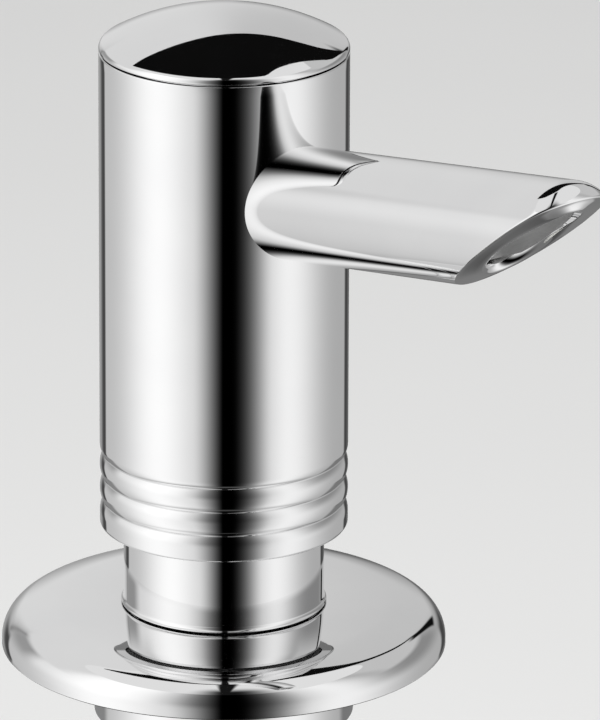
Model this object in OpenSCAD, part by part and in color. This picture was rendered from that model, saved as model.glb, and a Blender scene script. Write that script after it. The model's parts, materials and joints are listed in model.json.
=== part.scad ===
// Deck-mounted soap dispenser: press-down pump head with spout, base flange,
// threaded shank with clamping nut, and the soap bottle below the deck.
// The origin lies on the deck, in the centre of the flange's underside.
// +Z points up and the spout points along +X.

/* [Head] */
// Outer diameter of the pump head
head_d = 32; // [29:0.5:36]
// Height of the seam under the cap, above the deck
head_top_z = 80.2; // [78:0.1:90]
// Height of the head's lower edge, above the deck
head_bottom_z = 16.5; // [16.3:0.05:19]
// Wall thickness of the head
head_wall = 2; // [1.6:0.1:2.2]
// Height of the groove between the head and its cap
seam_h = 0.26; // [0.2:0.02:0.4]
// Depth of the groove between the head and its cap
seam_depth = 0.3; // [0.2:0.05:0.5]

/* [Cap] */
// Radius of the cap's domed top
dome_r = 31.5; // [25:0.5:45]
// Rounding of the cap's edge
cap_edge_r = 0.9; // [0.5:0.1:1.5]
// Thickness of the cap's dome
cap_wall = 1.6; // [1.2:0.1:2.5]
// Length of the cap's skirt inside the head
cap_skirt_len = 4; // [2.5:0.5:4]

/* [Bead rings] */
// Number of bead rings at the head's foot
bead_count = 3; // [2:1:3]
// Distance from one bead ring to the next
bead_pitch = 3.18; // [2.8:0.02:3.4]
// Depth of the notches between the bead rings
bead_depth = 0.45; // [0.3:0.05:0.6]
// Height of the lowest bead ring's middle above the head's lower edge
bead_foot = 1.72; // [1.5:0.02:2]
// Rounding of the head's lower edge
head_foot_round = 0.5; // [0.3:0.05:0.9]

/* [Spout] */
// Outer diameter of the spout
spout_d = 14.65; // [12.5:0.05:15.5]
// Bore of the spout
spout_bore_d = 9; // [8:0.1:9.5]
// Height at which the spout's axis crosses the head's axis
spout_z = 61; // [58:0.1:61.5]
// Upward slope of the spout, in degrees
spout_rise = 10; // [0:0.5:12]
// Length of the spout's axis, from the head's axis to its nose
spout_reach = 74.9; // [70:0.1:90]
// Distance along the spout's axis at which the slanted cut starts underneath
cut_start = 50.4; // [48:0.1:52]
// Angle of the slanted cut to the spout's axis, in degrees
cut_angle = 27.2; // [25:0.1:32]
// Rounding of the spout's nose
nose_r = 3.6; // [2.5:0.1:4.5]
// Depth of the outlet insert's face below the slanted cut
insert_recess = 0.5; // [0.3:0.05:0.8]
// Height of the outlet slot below the insert
outlet_slot_h = 1.2; // [0.8:0.1:1.5]
// Outer diameter of the tube that carries the soap through the spout
feed_tube_d = 6; // [5:0.1:6.5]
// Bore of the tube that carries the soap through the spout
feed_bore_d = 4; // [3:0.1:4.5]

/* [Neck] */
// Outer diameter of the sleeve that the head slides over
neck_d = 25.9; // [25.5:0.1:26.3]
// Wall thickness of the sleeve
neck_wall = 1.3; // [1:0.1:1.6]
// Height of the sleeve's upper end, above the deck
neck_top_z = 28.5; // [27:0.1:29]
// Height of the hollow flare from the sleeve down to the lip's edge
flare_h = 0.65; // [0.5:0.05:0.8]
// How far the lip at the sleeve's foot stands out
lip_proud = 0.35; // [0.2:0.05:0.45]
// Length of the bush that guides the head on the sleeve
bush_len = 9.5; // [7:0.5:9.5]

/* [Collar] */
// Outer diameter of the pump's collar
collar_d = 25; // [24.6:0.1:25.2]
// Height of the collar's upper end, above the deck
collar_top_z = 5.65; // [5.55:0.05:5.9]
// Wall of the collar around its upper recess
collar_wall = 1.8; // [1.6:0.05:2]
// Thickness of the gasket between the collar and the sleeve
neck_gasket_t = 0.3; // [0.25:0.05:0.5]
// Length of the collar's spigot inside the shank
spigot_len = 12; // [10:0.5:16]
// Cross-section diameter of the collar's sealing ring
ring_section_d = 1.3; // [1:0.1:1.6]

/* [Base flange] */
// Outer diameter of the flange
flange_d = 57.5; // [54:0.5:62]
// Height of the flange's top at its hole, above the deck
flange_h = 5.75; // [5.5:0.05:5.85]
// Radius of the gentle dome of the flange's top
flange_top_r = 120; // [80:5:300]
// Rounding of the flange's rim
flange_round = 3.9; // [3.4:0.1:4.2]
// Radius of the soft crown between the domed top and the rim
crown_r = 21; // [18:0.5:26]
// Radial width of the crown, up to the centre of the rim's rounding
crown_w = 5.3; // [4:0.1:6]
// Diameter of the hole in the flange
flange_hole_d = 25.8; // [25.6:0.1:26.2]
// Thickness of the gasket under the flange
gasket_t = 1.3; // [1:0.1:1.4]
// Radial width of the gasket under the flange
gasket_w = 5; // [4:0.5:5.5]

/* [Deck mounting] */
// Diameter of the hole in the deck
deck_hole_d = 35; // [34.8:0.1:36]
// Thickness of the deck that is clamped
deck_t = 30; // [5:1:45]
// Outer diameter of the threaded shank
shank_d = 30; // [29.6:0.1:30.4]
// Bore of the shank
shank_bore_d = 22.4; // [22:0.1:22.8]
// Depth of the shank's upper end below the deck
shank_drop = 4; // [3.6:0.1:5]
// Length of the flange's hub below the deck
hub_len = 9; // [7:0.5:12]
// Outer diameter of the washers under the deck
washer_d = 54; // [50:1:60]
// Thickness of the rubber washer
rubber_washer_t = 2.5; // [1.5:0.1:4]
// Thickness of the metal washer
metal_washer_t = 1.2; // [0.8:0.1:2]
// Height of the clamping nut
nut_h = 10.5; // [8:0.5:16]
// Outer diameter of the clamping nut's body
nut_d = 40; // [36:0.5:44]
// Distance across the clamping nut's wings
nut_span = 60; // [50:1:70]
// Number of wings on the clamping nut
wing_count = 4; // [3:1:6]

/* [Bottle] */
// Outer diameter of the bottle
bottle_d = 68; // [60:1:90]
// Height of the bottle's body
bottle_h = 118; // [100:1:160]
// Wall thickness of the bottle
bottle_wall = 1.6; // [1.2:0.1:2.5]
// Rounding of the bottle's shoulder
shoulder_r = 13; // [8:0.5:14]
// Rounding of the bottle's foot
foot_r = 6; // [3:0.5:8]
// Length of thread that the bottle's neck takes
thread_len = 15.5; // [12:0.5:20]
// Thickness of the seal in the bottle's neck
bottle_seal_t = 1.5; // [1:0.1:2]

/* [Pump] */
// Travel of the pump head
stroke = 9; // [6:0.1:9]
// Bore of the pump's cylinder
cylinder_d = 14; // [13:0.1:14.4]
// Wall thickness of the pump's cylinder
cylinder_wall = 1.4; // [1:0.1:1.5]
// Diameter of the piston's stem
stem_d = 8; // [7:0.1:9]
// Bore of the piston's stem
stem_bore_d = 3; // [2:0.1:3.4]
// Height of the piston
piston_h = 10; // [9:0.5:12]
// Depth of the piston's upper stop, below the deck
piston_stop_z = 14; // [12:0.5:16]
// Length of the return spring at rest
spring_len = 22; // [20:0.5:30]
// Wire diameter of the return spring
spring_wire_d = 0.9; // [0.7:0.05:1]
// Outer diameter of the return spring
spring_d = 11.2; // [10.6:0.1:11.6]
// Turns of the return spring
spring_turns = 6.5; // [5.5:0.5:7]
// Diameter of the ball in the inlet valve
inlet_ball_d = 5; // [4.5:0.1:5.4]
// Diameter of the ball in the outlet valve
outlet_ball_d = 4; // [3.6:0.1:4.2]
// Rise of each valve ball
ball_lift = 1; // [0.6:0.1:1.4]
// Outer diameter of the dip tube
dip_tube_d = 6; // [5:0.1:6.6]
// Bore of the dip tube
dip_bore_d = 4; // [3:0.1:4.4]
// Gap between the dip tube and the bottle's floor
dip_gap = 6; // [3:0.5:15]

/* [Hidden] */
$fn = 96;

// Clearances: pieces that slide or turn, pieces that are pushed together, loose pieces
run_fit = 0.05;
push_fit = 0.05;
slip_fit = 0.1;
loose_fit = 0.3;
// Overshoot of every cut past the surface that it opens
cut_over = 1;

// Radii of the head
head_r = head_d / 2;
head_in_r = head_r - head_wall;
shell_top_z = head_top_z - seam_h / 2;
cap_base_z = head_top_z + seam_h / 2;

// Cap: the edge rounding touches the side wall and the dome
cap_side_h = 0.1;
edge_c_r = head_r - cap_edge_r;
edge_c_z = cap_base_z + cap_side_h;
dome_c_z = edge_c_z - sqrt(pow(dome_r - cap_edge_r, 2) - pow(edge_c_r, 2));
edge_dir = atan2(edge_c_z - dome_c_z, edge_c_r);
cap_skirt_r = head_in_r - push_fit;
cap_skirt_t = 1.3;

// Bead rings: each is an arc over one pitch, the lowest one runs straight down to the head's
// lower edge, and the plain tube ends above them in a like arc
bead_r = (pow(bead_pitch / 2, 2) + pow(bead_depth, 2)) / (2 * bead_depth);
bead_low_z = head_bottom_z + bead_foot;
bead_top_z = bead_low_z + (bead_count - 0.5) * bead_pitch;
foot_arc_share = 0.75;
foot_arc_r = foot_arc_share * bead_r;
foot_arc_z = bead_top_z + sqrt(pow(foot_arc_r, 2) - pow(foot_arc_r - bead_depth, 2));

// Spout: axis distances are counted from the head's axis
spout_r = spout_d / 2;
spout_bore_r = spout_bore_d / 2;
core_r = 7.5;
root_gap = 1.5;
spout_root = core_r + root_gap;
nose_start = spout_reach - nose_r;
feed_start = 4;
insert_lead = 4;
insert_root = cut_start - insert_lead;
feed_socket = 5.8;
feed_end = insert_root + feed_socket;
slot_lead = 2;
slot_start = feed_end - slot_lead;

// Neck and collar
neck_r = neck_d / 2;
neck_in_r = neck_r - neck_wall;
collar_r = collar_d / 2;
recess_r = collar_r - collar_wall;
neck_foot_z = collar_top_z + neck_gasket_t;
lip_edge = 0.12;
flare_top_z = neck_foot_z + lip_edge + flare_h;
flare_r = (pow(lip_proud, 2) + pow(flare_h, 2)) / (2 * lip_proud);
neck_shoulder_t = 1.6;
sleeve_spigot_r = recess_r - slip_fit;
sleeve_spigot_t = 1.4;
ledge_z = 1.2;
rim_t = 2;
rim_top_z = ledge_z + rim_t;
collar_edge = 0.1;
ring_groove_share = 0.6;
gasket_set_back = 0.15;
cylinder_r = cylinder_d / 2;
cylinder_out_r = cylinder_r + cylinder_wall;
collar_bore_r = cylinder_out_r + 2 * slip_fit;
shank_r = shank_d / 2;
shank_bore_r = shank_bore_d / 2;
spigot_r = shank_bore_r - loose_fit;
seal_ring_z = -shank_drop - spigot_len / 2;
ring_section_r = ring_section_d / 2;
seal_ring_r = shank_bore_r - push_fit - ring_section_r;
ring_groove_r = seal_ring_r - ring_section_r - push_fit;

// Flange: the arcs of the domed top, the crown and the rim touch each other
hole_r = flange_hole_d / 2;
hole_edge = 0.2;
flange_r = flange_d / 2;
crown_angle = asin(crown_w / (crown_r - flange_round));
crown_dir = [sin(crown_angle), cos(crown_angle)];
top_c = [hole_r + hole_edge, flange_h - flange_top_r];
top_angle = asin((flange_r - flange_round - crown_w - top_c.x) / (flange_top_r - crown_r));
top_dir = [sin(top_angle), cos(top_angle)];
top_end = top_c + flange_top_r * top_dir;
crown_c = top_c + (flange_top_r - crown_r) * top_dir;
rim_c = crown_c + (crown_r - flange_round) * crown_dir;
hub_clear = 0.7;
hub_r = deck_hole_d / 2 - hub_clear;
gasket_offset = 2.5;
gasket_in_r = deck_hole_d / 2 + gasket_offset;

// Stack under the deck
washer_in_r = shank_r + loose_fit;
metal_washer_top = -deck_t - rubber_washer_t;
nut_top = metal_washer_top - metal_washer_t;
nut_base_t = 2.5;
nut_base_w = 4;
nut_base_r = nut_d / 2 + nut_base_w;
wing_t = 5;
wing_root_r = shank_r + 2;
nut_spare = 2.5;
bottle_top = nut_top - nut_h - nut_spare;
shank_end = bottle_top - thread_len;
bottle_ledge = shank_end - bottle_seal_t;
ledge_t = 2.5;
bottle_neck_in_r = shank_r + slip_fit;
bottle_neck_wall = 2.5;
bottle_neck_r = bottle_neck_in_r + bottle_neck_wall;
throat_clear = 0.8;
throat_r = shank_bore_r + throat_clear;
shoulder_z = bottle_ledge - ledge_t;
bottle_r = bottle_d / 2;
bottle_foot = shoulder_z - bottle_h;
bottle_floor = bottle_foot + bottle_wall;
kick_h = 1.2;
kick_margin = 4;
kick_r = bottle_r - foot_r - kick_margin;

// Pump, from the piston's stop downwards
piston_top = -piston_stop_z;
piston_foot = piston_top - piston_h;
piston_r = cylinder_r - run_fit;
lip_h = 2;
waist_depth = 0.6;
piston_waist_r = piston_r - waist_depth;
cage_top = piston_foot - spring_len;
cage_t = 2;
cylinder_floor = cage_top - cage_t;
cage_hole_clear = 1;
cage_hole_r = inlet_ball_d / 2 + cage_hole_clear;
cage_bar_w = 1.2;
stem_r = stem_d / 2;
stem_bore_r = stem_bore_d / 2;
cap_rim_t = 1.4;
cap_rim_r = sleeve_spigot_r - sleeve_spigot_t - slip_fit;
stem_seal_t = 1.6;
stem_seal_w = 2.4;
stem_seal_r = stem_r + stem_seal_w;
wiper_t = 0.7;
seal_rim_t = 0.5;
seal_slope = 0.4;
vent_r = 0.6;
vent_z = piston_top - piston_h / 2;

// Ball valves: each seat is a 45 degree cone, and the ball rests just above it
seat_gap = 0.15;
ball_room = 0.5;
port_share = 0.64;
inlet_r = inlet_ball_d / 2;
inlet_room_r = inlet_r + ball_room;
inlet_port_r = port_share * inlet_r;
inlet_apex = cylinder_floor - seat_gap - ball_lift - 2 * seat_gap - inlet_r * (1 + sqrt(2));
inlet_ball_z = inlet_apex + (inlet_r + seat_gap) * sqrt(2);
inlet_port_len = 3;
tail_top = inlet_apex + inlet_port_r - inlet_port_len;
tail_len = 12;
dip_tube_r = dip_tube_d / 2;
tail_wall = 1.8;
tail_r = dip_tube_r + tail_wall;
outlet_r = outlet_ball_d / 2;
outlet_room_r = outlet_r + ball_room;
outlet_port_r = port_share * outlet_r;
outlet_port_len = 1.5;
outlet_apex = piston_foot + outlet_port_len - outlet_port_r;
outlet_ball_z = outlet_apex + (outlet_r + seat_gap) * sqrt(2);
stem_foot = outlet_ball_z + outlet_r + ball_lift + seat_gap;
stem_slot_w = 1.2;
stem_slot_h = 1.5;

// Head core: it stays clear of the sleeve when the head is pressed down
core_clear = 1.5;
core_foot_z = neck_top_z + stroke + core_clear;
core_disc_t = 3;
core_disc_r = head_in_r - push_fit;
cap_core_gap = 0.4;
core_top_z = shell_top_z - cap_skirt_len - cap_core_gap;
socket_depth = 8;
stem_top = core_foot_z + socket_depth;
flow_r = 1.8;
passage_r = 2.2;
passage_back = 2.6;
rib_t = 1.6;
rib_set_back = 0.5;
rib_angles = [90, 180, 270];
bush_set_up = 0.4;

// Return spring: a tube along a helix, with straight ends one wire thick
wire_r = spring_wire_d / 2;
coil_r = spring_d / 2 - wire_r;
rings_per_turn = 8;
wire_sides = 6;
coil_steps = spring_turns * rings_per_turn;
coil_low = cage_top + wire_r;
coil_high = piston_foot - wire_r;
function coil_point(i) =
    let (a = 360 * i / rings_per_turn)
    [coil_r * cos(a), coil_r * sin(a), coil_low + (coil_high - coil_low) * i / coil_steps];
function coil_way(i) = [-sin(360 * i / rings_per_turn), cos(360 * i / rings_per_turn), 0];
coil_path = concat(
    [coil_point(0) - spring_wire_d * coil_way(0)],
    [for (i = [0 : coil_steps]) coil_point(i)],
    [coil_point(coil_steps) + spring_wire_d * coil_way(coil_steps)]);
function coil_turn(k) = 360 * min(max(k - 1, 0), coil_steps) / rings_per_turn;
coil_gap = min([for (i = [0 : len(coil_path) - 1])
    for (j = [i + rings_per_turn - 2 : 1 : len(coil_path) - 1])
        norm(coil_path[j] - coil_path[i]) - spring_wire_d]);
echo(str("least gap between the spring's turns: ", coil_gap, " mm"));

// A ring between two radii and two heights
module ring(outer, inner, low, high) {
    translate([0, 0, low])
        difference() {
            cylinder(r = outer, h = high - low);
            translate([0, 0, -cut_over])
                cylinder(r = inner, h = high - low + 2 * cut_over);
        }
}

// A rectangle in the profile plane, from a lower inner corner to an upper outer corner
module span(r0, z0, r1, z1) {
    translate([r0, z0])
        square([r1 - r0, z1 - z0]);
}

// Puts a piece that is drawn along +Z on the spout's axis, with its underside towards +X
module on_spout() {
    translate([0, 0, spout_z])
        rotate([0, 90 - spout_rise, 0])
            children();
}

// Everything past the slanted cut, moved back by a distance square to the cut
module past_cut(back) {
    start = cut_start - back / sin(cut_angle);
    side = spout_r + cut_over;
    far = spout_reach + 2 * spout_d / tan(cut_angle);
    rotate([90, 0, 0])
        linear_extrude(height = 4 * side, center = true)
            polygon([
                [side, start - cut_over / tan(cut_angle)],
                [-side, start + (spout_d + cut_over) / tan(cut_angle)],
                [-side, far],
                [side, far]]);
}

// Flange: gently domed top with a soft crown, rounded rim, gasket groove and hub
module base_flange() {
    color([0.86, 0.86, 0.87])
        rotate_extrude()
            difference() {
                union() {
                    polygon([
                        [hole_r, -hub_len],
                        [hub_r, -hub_len],
                        [hub_r, rim_c.y],
                        [top_c.x, rim_c.y],
                        [top_c.x, flange_h],
                        [hole_r, flange_h - hole_edge]]);
                    intersection() {
                        translate(top_c)
                            circle(r = flange_top_r);
                        span(top_c.x, 0, top_end.x, flange_h + cut_over);
                    }
                    intersection() {
                        translate(crown_c)
                            circle(r = crown_r);
                        polygon([
                            [crown_c.x, 0],
                            [rim_c.x, 0],
                            rim_c,
                            rim_c + crown_r * crown_dir,
                            [crown_c.x, crown_r]]);
                    }
                    translate(rim_c)
                        intersection() {
                            circle(r = flange_round);
                            span(0, 0, flange_round, flange_round);
                        }
                    span(rim_c.x, 0, flange_r, rim_c.y);
                }
                span(gasket_in_r, -cut_over, gasket_in_r + gasket_w, gasket_t);
                span(0, -hub_len - cut_over, shank_r + push_fit, -shank_drop);
            }
}

// Gasket in the groove under the flange
module flange_gasket() {
    color([0.12, 0.12, 0.12])
        ring(gasket_in_r + gasket_w - slip_fit, gasket_in_r + slip_fit, 0, gasket_t);
}

// Threaded tube that hangs from the flange's hub through the deck
module threaded_shank() {
    color([0.78, 0.66, 0.4])
        ring(shank_r, shank_bore_r, shank_end, -shank_drop);
}

// Rubber washer against the underside of the deck
module rubber_washer() {
    color([0.12, 0.12, 0.12])
        ring(washer_d / 2, washer_in_r, metal_washer_top, -deck_t);
}

// Metal washer on which the nut turns
module metal_washer() {
    color([0.7, 0.7, 0.72])
        ring(washer_d / 2, washer_in_r, nut_top, metal_washer_top);
}

// Clamping nut with a flat base and wings for the fingers
module clamping_nut() {
    color([0.16, 0.16, 0.17])
        difference() {
            union() {
                translate([0, 0, nut_top - nut_h])
                    cylinder(d = nut_d, h = nut_h);
                translate([0, 0, nut_top - nut_base_t])
                    cylinder(r = nut_base_r, h = nut_base_t);
                for (i = [0 : wing_count - 1])
                    rotate([0, 0, 45 + i * 360 / wing_count])
                        translate([wing_root_r, -wing_t / 2, nut_top - nut_h])
                            cube([nut_span / 2 - wing_root_r, wing_t, nut_h]);
            }
            translate([0, 0, nut_top - nut_h - cut_over])
                cylinder(r = shank_r + slip_fit, h = nut_h + 2 * cut_over);
        }
}

// Closed outline of the bottle's body, drawn in by a wall
module bottle_outline(wall) {
    top_round = shoulder_r - wall;
    low_round = foot_r - wall;
    side = bottle_r - wall;
    span(0, bottle_foot + wall, side - low_round, shoulder_z - shoulder_r);
    span(0, bottle_foot + foot_r, side, shoulder_z - shoulder_r);
    span(0, bottle_foot + foot_r, side - top_round, shoulder_z - wall);
    translate([side - top_round, shoulder_z - shoulder_r])
        circle(r = top_round);
    translate([side - low_round, bottle_foot + foot_r])
        circle(r = low_round);
}

// Soap bottle that screws on to the shank's lower end
module soap_bottle() {
    color([0.92, 0.92, 0.9, 0.6])
        rotate_extrude()
            difference() {
                union() {
                    bottle_outline(0);
                    span(0, shoulder_z - bottle_wall, bottle_neck_r, bottle_top);
                }
                difference() {
                    bottle_outline(bottle_wall);
                    span(0, bottle_floor - cut_over, kick_r + bottle_wall, bottle_floor + kick_h);
                }
                span(0, bottle_foot - cut_over, kick_r, bottle_foot + kick_h);
                span(0, shoulder_z - 2 * bottle_wall, throat_r, bottle_top + cut_over);
                span(0, bottle_ledge, bottle_neck_in_r, bottle_top + cut_over);
            }
}

// Seal between the shank's end and the ledge in the bottle's neck
module bottle_seal() {
    color([0.14, 0.14, 0.14])
        ring(shank_r - slip_fit, throat_r, bottle_ledge, shank_end);
}

// Collar of the pump: it stands on the shank's rim, inside the flange's hole
module pump_collar() {
    groove_h = ring_groove_share * ring_section_d;
    color([0.86, 0.86, 0.87])
        rotate_extrude()
            difference() {
                union() {
                    span(0, -shank_drop - spigot_len, spigot_r, collar_top_z);
                    polygon([
                        [0, -shank_drop],
                        [collar_r, -shank_drop],
                        [collar_r, collar_top_z - collar_edge],
                        [collar_r - collar_edge, collar_top_z],
                        [0, collar_top_z]]);
                }
                span(0, ledge_z, recess_r, collar_top_z + cut_over);
                span(0, -shank_drop - spigot_len - cut_over, collar_bore_r, ledge_z + cut_over);
                span(ring_groove_r, seal_ring_z - groove_h, spigot_r + cut_over, seal_ring_z + groove_h);
            }
}

// Sealing ring in the groove of the collar's spigot
module collar_seal_ring() {
    color([0.1, 0.1, 0.1])
        translate([0, 0, seal_ring_z])
            rotate_extrude()
                translate([seal_ring_r, 0])
                    circle(r = ring_section_r);
}

// Dark gasket in the gap between the collar and the sleeve
module neck_gasket() {
    color([0.08, 0.08, 0.08])
        ring(collar_r - gasket_set_back, sleeve_spigot_r + slip_fit, collar_top_z, neck_foot_z);
}

// Sleeve that the head slides over, with its flared lip and its spigot in the collar
module neck_sleeve() {
    color([0.86, 0.86, 0.87])
        rotate_extrude()
            difference() {
                union() {
                    span(0, neck_foot_z, neck_r, neck_top_z);
                    span(0, rim_top_z, sleeve_spigot_r, neck_foot_z);
                    difference() {
                        span(0, neck_foot_z, neck_r + lip_proud, flare_top_z);
                        translate([neck_r + flare_r, flare_top_z])
                            circle(r = flare_r);
                    }
                }
                span(0, neck_foot_z + neck_shoulder_t, neck_in_r, neck_top_z + cut_over);
                span(0, rim_top_z - cut_over, sleeve_spigot_r - sleeve_spigot_t, neck_top_z);
            }
}

// Cylinder of the pump, hung by its rim in the collar, with the inlet valve's seat below
module pump_cylinder() {
    color([0.9, 0.9, 0.88])
        difference() {
            rotate_extrude()
                difference() {
                    union() {
                        span(0, ledge_z, recess_r - slip_fit, rim_top_z);
                        span(0, inlet_apex + inlet_room_r, cylinder_out_r, rim_top_z);
                        polygon([
                            [0, tail_top],
                            [tail_r, tail_top],
                            [cylinder_out_r, inlet_apex + inlet_room_r],
                            [cylinder_out_r, cylinder_floor],
                            [0, cylinder_floor]]);
                        span(0, tail_top - tail_len, tail_r, inlet_apex);
                    }
                    span(0, cylinder_floor, cylinder_r, rim_top_z + cut_over);
                    span(0, inlet_apex + inlet_room_r, inlet_room_r, cylinder_floor + cut_over);
                    polygon([
                        [0, inlet_apex + inlet_port_r],
                        [inlet_port_r, inlet_apex + inlet_port_r],
                        [inlet_room_r, inlet_apex + inlet_room_r],
                        [0, inlet_apex + inlet_room_r]]);
                    span(0, tail_top - cut_over, inlet_port_r, inlet_apex + inlet_room_r);
                    span(0, tail_top - tail_len - cut_over, dip_tube_r + push_fit, tail_top);
                }
            translate([0, 0, vent_z])
                rotate([0, 90, 0])
                    cylinder(r = vent_r, h = cylinder_out_r + cut_over);
        }
}

// Cap that closes the cylinder and guides the stem
module cylinder_cap() {
    color([0.93, 0.93, 0.92])
        rotate_extrude()
            difference() {
                union() {
                    span(0, piston_top, cylinder_r - push_fit, rim_top_z);
                    span(0, rim_top_z, cap_rim_r, rim_top_z + cap_rim_t);
                }
                span(0, piston_top - cut_over, stem_r + run_fit, rim_top_z + cap_rim_t + cut_over);
            }
}

// Wiper ring that seals the stem above the cap
module stem_seal() {
    low = rim_top_z + cap_rim_t;
    color([0.1, 0.1, 0.1])
        rotate_extrude()
            difference() {
                span(stem_r + run_fit, low, stem_seal_r, low + stem_seal_t);
                polygon([
                    [stem_r + wiper_t, low + stem_seal_t + cut_over],
                    [stem_r + wiper_t, low + stem_seal_t],
                    [stem_seal_r - seal_rim_t - seal_slope, low + stem_seal_t / 2],
                    [stem_seal_r - seal_rim_t, low + stem_seal_t],
                    [stem_seal_r - seal_rim_t, low + stem_seal_t + cut_over]]);
            }
}

// Cage over the inlet valve: a ring for the spring and a cross that keeps the ball in
module valve_cage() {
    color([0.93, 0.93, 0.92]) {
        ring(cylinder_r - push_fit, cage_hole_r, cylinder_floor, cage_top);
        intersection() {
            translate([0, 0, cylinder_floor])
                cylinder(r = cage_hole_r + cage_bar_w / 2, h = cage_t);
            for (a = [0, 90])
                rotate([0, 0, a])
                    translate([-cylinder_r, -cage_bar_w / 2, cylinder_floor])
                        cube([cylinder_d, cage_bar_w, cage_t]);
        }
    }
}

// Dip tube with a slanted lower end
module dip_tube() {
    low = bottle_floor + kick_h + dip_gap;
    color([0.85, 0.87, 0.88])
        difference() {
            ring(dip_tube_r, dip_bore_d / 2, low, tail_top);
            translate([0, 0, low])
                rotate([0, 45, 0])
                    translate([0, 0, -dip_tube_d])
                        cube([4 * dip_tube_d, 4 * dip_tube_d, 2 * dip_tube_d], center = true);
        }
}

// Helical return spring between the cage and the piston
module return_spring() {
    last = len(coil_path) - 1;
    points = [for (k = [0 : last])
        for (s = [0 : wire_sides - 1])
            let (a = coil_turn(k), b = 360 * s / wire_sides)
            coil_path[k] + wire_r * [cos(b) * cos(a), cos(b) * sin(a), sin(b)]];
    walls = [for (k = [0 : last - 1])
        for (s = [0 : wire_sides - 1])
            let (n = (s + 1) % wire_sides, p = k * wire_sides, q = p + wire_sides)
            each [[p + s, q + s, q + n], [p + s, q + n, p + n]]];
    ends = [for (s = [1 : wire_sides - 2])
        let (e = last * wire_sides)
        each [[0, s, s + 1], [e, e + s + 1, e + s]]];
    color([0.75, 0.76, 0.78])
        polyhedron(points = points, faces = concat(walls, ends));
}

// Ball of the inlet valve
module inlet_ball() {
    color([0.8, 0.81, 0.83])
        translate([0, 0, inlet_ball_z])
            sphere(r = inlet_r);
}

// Piston with two wiping lips, the outlet valve's seat and the stem's socket
module piston() {
    color([0.55, 0.6, 0.66])
        rotate_extrude()
            difference() {
                span(0, piston_foot, piston_r, piston_top);
                span(piston_waist_r, piston_foot + lip_h, piston_r + cut_over, piston_top - lip_h);
                span(0, piston_foot - cut_over, outlet_port_r, piston_top);
                polygon([
                    [0, outlet_apex + outlet_port_r],
                    [outlet_port_r, outlet_apex + outlet_port_r],
                    [outlet_room_r, outlet_apex + outlet_room_r],
                    [0, outlet_apex + outlet_room_r]]);
                span(0, outlet_apex + outlet_room_r, outlet_room_r, piston_top);
                span(0, stem_foot, stem_r + push_fit, piston_top + cut_over);
            }
}

// Hollow stem from the piston up into the head, slotted at its foot to let the soap past the ball
module piston_stem() {
    color([0.93, 0.93, 0.92])
        difference() {
            ring(stem_r, stem_bore_r, stem_foot, stem_top);
            for (a = [0, 90])
                rotate([0, 0, a])
                    translate([-stem_d, -stem_slot_w / 2, stem_foot - cut_over])
                        cube([2 * stem_d, stem_slot_w, stem_slot_h + cut_over]);
        }
}

// Ball of the outlet valve
module outlet_ball() {
    color([0.8, 0.81, 0.83])
        translate([0, 0, outlet_ball_z])
            sphere(r = outlet_r);
}

// Head tube with the bead rings at its foot and the hole for the spout
module head_shell() {
    color([0.86, 0.86, 0.87])
        difference() {
            rotate_extrude()
                difference() {
                    union() {
                        span(0, bead_low_z, head_r - bead_depth, shell_top_z);
                        span(0, foot_arc_z, head_r, shell_top_z);
                        translate([head_r - foot_arc_r, foot_arc_z])
                            circle(r = foot_arc_r);
                        for (i = [0 : bead_count - 1])
                            intersection() {
                                translate([head_r - bead_r, bead_low_z + i * bead_pitch])
                                    circle(r = bead_r);
                                span(0, bead_low_z, head_d, shell_top_z);
                            }
                        span(0, head_bottom_z + head_foot_round, head_r, bead_low_z);
                        span(0, head_bottom_z, head_r - head_foot_round, bead_low_z);
                        translate([head_r - head_foot_round, head_bottom_z + head_foot_round])
                            circle(r = head_foot_round);
                    }
                    span(0, head_bottom_z - head_d, head_in_r, shell_top_z + cut_over);
                }
            on_spout()
                cylinder(r = spout_r + push_fit, h = spout_reach);
        }
}

// Domed cap that closes the head, with a skirt inside the head tube
module head_cap() {
    reach = 2 * dome_r;
    hollow_z = shell_top_z - cap_skirt_len - cut_over;
    color([0.86, 0.86, 0.87])
        rotate_extrude()
            difference() {
                union() {
                    intersection() {
                        translate([0, dome_c_z])
                            circle(r = dome_r);
                        polygon([
                            [0, edge_c_z],
                            [edge_c_r, edge_c_z],
                            [edge_c_r + reach * cos(edge_dir), edge_c_z + reach * sin(edge_dir)],
                            [0, edge_c_z + reach]]);
                    }
                    translate([edge_c_r, edge_c_z])
                        intersection() {
                            circle(r = cap_edge_r);
                            span(-cap_edge_r, 0, cap_edge_r, cap_edge_r);
                        }
                    span(0, cap_base_z, head_r, edge_c_z);
                    span(0, shell_top_z, head_r - seam_depth, cap_base_z);
                    span(0, shell_top_z - cap_skirt_len, cap_skirt_r, shell_top_z);
                }
                intersection() {
                    translate([0, dome_c_z])
                        circle(r = dome_r - cap_wall);
                    span(0, hollow_z, cap_skirt_r - cap_skirt_t, dome_c_z + dome_r);
                }
            }
}

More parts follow.
